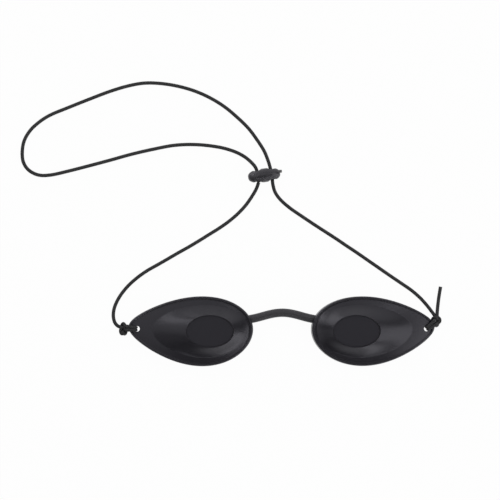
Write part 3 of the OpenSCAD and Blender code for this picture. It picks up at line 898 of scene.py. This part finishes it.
def lens_grid():
    """Ovals from the middle of the underside, out round the edge, and in across the top."""
    a = between(6, last=True) * np.pi / 2
    top = SEAT_Z + LENS_THICKNESS
    middle = -WINDOW_WIDTH / 2 * MIDDLE_SHARE
    outset = np.concatenate([
        [middle, -SEAT_WIDTH - LENS_GAP, -SEAT_WIDTH - LENS_GAP, -LENS_GAP],
        -LENS_GAP - LENS_EDGE * (1 - np.cos(a)),
        np.linspace(-LENS_GAP - LENS_EDGE * 2, middle, 10),
    ])
    high = [SEAT_BOTTOM, SEAT_BOTTOM, SEAT_Z, SEAT_Z, *(top - LENS_EDGE * (1 - np.sin(a)))] + [top] * 10
    return at_height(window_rows(outset), high) + left_tip


left_window = soft_edges(closed_mesh("left_window", lens_grid()))
right_window = mirrored(left_window, "right_window")
placed(left_window, lens_finish, "left_lens", "left_cup")
placed(right_window, lens_finish, "right_lens", "right_cup")
print("faces of a window:", len(left_window.data.polygons))

# %% [markdown]
# ## Bridge
# The bridge is a soft round rod that bows towards the brow and a little off the face. Its straight
# ends run through both skirts into their sockets. A curve object with a round bevel would draw the
# bow, but not the rounded ends in the same mesh, so circles are swept along the line instead.

# %% The bridge rod
BRIDGE_ROWS, PLUG_ROWS = 161, 12
ROD_EDGE, FIRST_STEP = 0.15 * MM, 0.1 * MM


def bridge_grid():
    """Circles square to the bowed line, carried straight on at each end, where the rim is rounded."""
    line = bridge_line(np.linspace(-1, 1, BRIDGE_ROWS))
    side, top = carried_frames(line)
    a = turns(48)
    ring = np.cos(a)[:, None] * side[:, None, :] + np.sin(a)[:, None] * top[:, None, :]
    rod = line[:, None, :] + BRIDGE_WIDTH / 2 * ring
    edge = between(6, last=True) * np.pi / 2
    straight = between(PLUG_ROWS, FIRST_STEP, PLUG_LENGTH - ROD_EDGE)
    far = np.concatenate([straight, PLUG_LENGTH - ROD_EDGE * (1 - np.sin(edge))])
    wide = BRIDGE_WIDTH / 2 - np.concatenate([np.zeros(PLUG_ROWS), ROD_EDGE * (1 - np.cos(edge))])
    ends = []
    for i, way in ((0, -1), (-1, 1)):
        ahead = unit(line[i] - line[i - way])
        rows = line[i] + far[:, None, None] * ahead + wide[:, None, None] * ring[i]
        ends.append(rows if way > 0 else rows[::-1])
    return np.concatenate([ends[0], rod, ends[1]])


bridge = soft_edges(closed_mesh("bridge_rod", bridge_grid()))
placed(bridge, bridge_finish, "nose_bridge")
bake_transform(bridge)
print("bridge from", np.round(bridge_start / MM, 2), "mm")

# %% [markdown]
# ## Sliding bead
# The bead is a small oblong of hard plastic with blunt round ends. A box with bevels would look too
# square and a stretched sphere too pointed, so it is a superellipse turned about its long axis. Two
# cross holes with wide mouths take the cord. A stub of the moulding sprue stays on one end, as a
# piece of its own, because it gets the bead's plastic painted paler: a painted highlight for the
# light that the small stub catches. The skin is rougher than the cups', so it has a low uneven
# relief as well as grain.

# %% The bead's body
BEAD_LENGTH, BEAD_THICKNESS = 12.7 * MM, 5.5 * MM
BEAD_SHIFT = 0.25 * MM
BEAD_TURN = np.radians(8)
BEAD_PLACE = np.array([-0.0068, 0.061, BEAD_THICKNESS / 2])
BEAD_POWER = 2.6
POLE_SHARE = 0.02
RELIEF = 0.07 * MM
RELIEF_WAVES = ((5, 9, 0), (3, -14, 1), (8, 21, 0))

bead_ahead = np.array([np.cos(BEAD_TURN), np.sin(BEAD_TURN), 0])
bead_across = np.array([-np.sin(BEAD_TURN), np.cos(BEAD_TURN), 0])


def bead_grid():
    """Circles along the bead whose radius follows a superellipse, |t|^p + |r|^p = 1, with a few slow
    waves of relief that fade out at the ends. A wave is given by how often it goes up and down round
    the bead, how fast it turns along it, and where it starts."""
    t = -np.cos(np.pi * np.linspace(POLE_SHARE, 1 - POLE_SHARE, 90))[:, None]
    a = turns(96)
    wide = BEAD_THICKNESS / 2 * (1 - np.abs(t) ** BEAD_POWER) ** (1 / BEAD_POWER)
    waves = sum(np.sin(round_it * a + ahead * t + start) for round_it, ahead, start in RELIEF_WAVES)
    depth = (len(RELIEF_WAVES) + waves) / (2 * len(RELIEF_WAVES))
    radius = wide - RELIEF * depth * (1 - t**4)
    ring = np.cos(a)[:, None] * bead_across + np.sin(a)[:, None] * np.array([0, 0, 1])
    along = t * BEAD_LENGTH / 2 - BEAD_SHIFT
    return BEAD_PLACE + along[..., None] * bead_ahead + radius[..., None] * ring


bead = closed_mesh("slide_bead_body", bead_grid())

# %% The stub and the bead's two holes
NUB_WIDTH, NUB_LENGTH, NUB_Y = 1.2 * MM, 0.8 * MM, 0.7 * MM
NUB_MARK_SHARES = np.array([-1, -0.55, -0.1, 0.35, 0.8, 0.95, 1])
NUB_WIDTH_SHARES = np.array([1.1, 1.05, 1, 0.98, 0.95, 0.8, 0.5])
BEAD_HOLE, BEAD_HOLE_GAP = 2.6 * MM, 5.5 * MM
HOLE_MARK_SHARES = np.array([-1.3, -1, -0.76, -0.7, 0.7, 0.76, 1, 1.3])
HOLE_WIDTH_SHARES = np.array([1.45, 1.35, 1.3, 1, 1, 1.3, 1.35, 1.45])

nub_root = BEAD_PLACE + (BEAD_LENGTH / 2 - BEAD_SHIFT) * bead_ahead + NUB_Y * bead_across
nub_rows = rod_rows(
    nub_root, bead_ahead, NUB_LENGTH * NUB_MARK_SHARES, NUB_WIDTH / 2 * NUB_WIDTH_SHARES, 32
)
nub = closed_mesh("nub", nub_rows)
for side in (-1, 1):
    middle = BEAD_PLACE + side * BEAD_HOLE_GAP / 2 * bead_ahead
    marks, radii = BEAD_THICKNESS / 2 * HOLE_MARK_SHARES, BEAD_HOLE / 2 * HOLE_WIDTH_SHARES
    cut_with(bead, closed_mesh("bead_cutter", rod_rows(middle, bead_across, marks, radii, 48)), "DIFFERENCE")
soft_edges(bead)
placed(bead, bead_finish, "slide_bead", "bead")
# The stub's finish is the bead's plastic painted paler, as a painted highlight.
placed(nub, painted_highlight_stub_finish, "slide_bead", "bead")
print("faces of the bead:", len(bead.data.polygons))

# %% [markdown]
# ## The cord's stretches
# A cord on the table is not stiff. A table lists for each long stretch the other body that it joins
# and two points between which it would bend; the code here only bakes each stretch into its mesh.
# It could be simulated as a rope, but then it would settle on another route than the photographed one.

# %% The body and points listed for each stretch, and each stretch baked in place
BENDS = {
    "cord_left": ("bead", (-0.055, 0.022, 0), (-0.0092, 0.058, 0)),
    "cord_loop": ("bead", (-0.085, 0.07, 0), (-0.011, 0.066, 0)),
    "cord_right_upper": ("bead", (0.025, 0.034, 0), (-0.0037, 0.058, 0)),
    "cord_right_lower": ("right_cup", (0.026, 0.034, 0), (0.058, 0.009, 0)),
}


for name, (other, start, end) in BENDS.items():
    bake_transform(stretches[name])
print("declared cords:", list(BENDS))

# %% [markdown]
# ## Table and light
# The photograph's ground is plain white with almost no shadow. More lamps would bleach the goggles
# before the table turned white, so the table is a white sheet that the camera and reflections see as
# glowing: it stays white while the lamps are set for the goggles alone.

# %% Table
TABLE_SIZE = 4.0
TABLE_GLOW_SHARE = 0.97


def table_finish():
    """White paper for the lamps, and a glow for camera, glossy and transmitted rays."""
    material, tree, shader = finish_nodes("table_white")
    shader.inputs["Base Color"].default_value = (0.9, 0.9, 0.9, 1)
    shader.inputs["Roughness"].default_value = 0.9
    shader.inputs["Specular IOR Level"].default_value = 0
    rays = tree.nodes.new("ShaderNodeLightPath")
    seen = rays.outputs["Is Camera Ray"]
    for kind in ("Is Glossy Ray", "Is Transmission Ray"):
        either = tree.nodes.new("ShaderNodeMath")
        either.operation = "MAXIMUM"
        tree.links.new(seen, either.inputs[0])
        tree.links.new(rays.outputs[kind], either.inputs[1])
        seen = either.outputs[0]
    glow = tree.nodes.new("ShaderNodeEmission")
    mixer = tree.nodes.new("ShaderNodeMixShader")
    tree.links.new(spread(tree, seen, 0, TABLE_GLOW_SHARE), mixer.inputs["Fac"])
    tree.links.new(shader.outputs[0], mixer.inputs[1])
    tree.links.new(glow.outputs[0], mixer.inputs[2])
    tree.links.new(mixer.outputs[0], tree.nodes["Material Output"].inputs["Surface"])
    return material


half = TABLE_SIZE / 2
corners = [(-half, -half, 0), (half, -half, 0), (half, half, 0), (-half, half, 0)]
table_mesh = bpy.data.meshes.new("table")
table_mesh.from_pydata(corners, [], [(0, 1, 2, 3)])
table = bpy.data.objects.new("table", table_mesh)
bpy.context.collection.objects.link(table)
table.data.materials.append(table_finish())
print("table, m:", TABLE_SIZE)

# %% [markdown]
# Black satin shows its lamps more than its colour: a bright streak on a sloping wall is the mirror
# image of a lamp. One big soft light would shade the cups evenly, which the photograph doesn't. So
# there are several rectangles of even brightness round the goggles, each where a streak in the
# photograph says that something bright stood: broad dim ones for the flanges and the upper walls,
# small bright ones for the spots beside the windows, and low strips for the rims.

# %% Lamps
LAMP_DISTANCE = 0.9
LAMPS = {
    "upper_light": (75, 16, (1.4, 0.9), 0.75),
    "upper_left_low": (131, 10, (0.62, 0.3), 2.7),
    "upper_left_spot": (138, 36, (0.28, 0.2), 4.2),
    "left_light": (197, 30, (0.7, 0.3), 0.8),
    "lower_light": (278, 40, (0.7, 0.26), 1.8),
    "lower_right_strip": (318, 10, (1.2, 0.2), 3.1),
    "right_light": (345, 41, (0.72, 0.58), 1.8),
    "high_right_spot": (43, 58, (0.2, 0.2), 4.2),
    "high_left_light": (144, 63, (1.0, 0.8), 0.7),
}


def soft_light(name, azimuth, elevation, size, radiance):
    """A rectangular lamp that faces the goggles. Azimuth turns from +X towards +Y. Its power is what
    gives the wanted radiance: pi times area times radiance."""
    a, e = np.radians([azimuth, elevation])
    place = LAMP_DISTANCE * np.array([np.cos(a) * np.cos(e), np.sin(a) * np.cos(e), np.sin(e)])
    lamp = bpy.data.lights.new(name, "AREA")
    lamp.shape = "RECTANGLE"
    lamp.size, lamp.size_y = size
    lamp.energy = np.pi * size[0] * size[1] * radiance
    obj = bpy.data.objects.new(name, lamp)
    bpy.context.collection.objects.link(obj)
    obj.matrix_world = looking(place, np.zeros(3), np.array([0, 0, 1.0]))
    obj.visible_camera = False


for name, facts in LAMPS.items():
    soft_light(name, *facts)
print("lamps:", len(LAMPS))

# %% The room round the lamps
ROOM_LIGHT = 0.03

world = bpy.data.worlds.new("room")
world.use_nodes = True
room = world.node_tree.nodes["Background"]
room.inputs["Color"].default_value = (1, 1, 1, 1)
room.inputs["Strength"].default_value = ROOM_LIGHT
bpy.context.scene.world = world
bpy.context.scene.view_settings.view_transform = "Standard"
print("room light:", ROOM_LIGHT)
